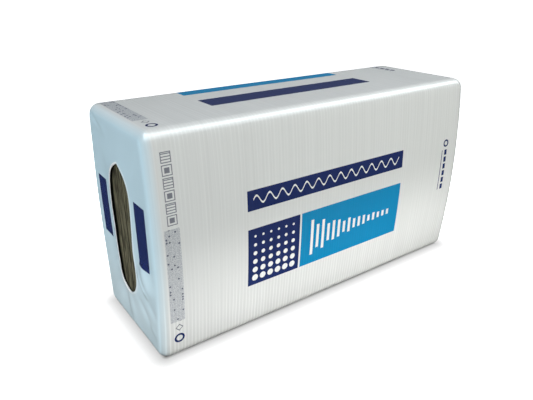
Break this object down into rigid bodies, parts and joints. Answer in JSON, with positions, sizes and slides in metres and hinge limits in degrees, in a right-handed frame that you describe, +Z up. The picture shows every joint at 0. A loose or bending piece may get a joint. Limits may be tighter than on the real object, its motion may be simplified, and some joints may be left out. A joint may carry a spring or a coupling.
{
  "type": "film-wrapped pack of acoustic insulation slabs",
  "caption": "Pack of mineral wool acoustic slabs standing on their long edges, held by a shrink-film sleeve with bowed faces, round edges and an oval mouth at each end.",
  "frame": {"origin": "middle of the pack's underside, on the floor it stands on", "axes": "+X along the slabs, from one open end to the other; +Y through the stack, front to back; +Z up"},
  "size_m": [1.111, 0.3952, 0.6016],
  "materials": {
    "film": "satin printed shrink film",
    "wool": "fibrous mineral wool"
  },
  "bodies": {
    "root": {"film_sleeve": "film", "slab_1": "wool", "slab_2": "wool", "slab_3": "wool", "slab_4": "wool", "slab_5": "wool", "slab_6": "wool", "slab_7": "wool", "slab_8": "wool", "slab_9": "wool"}
  },
  "joints": []
}
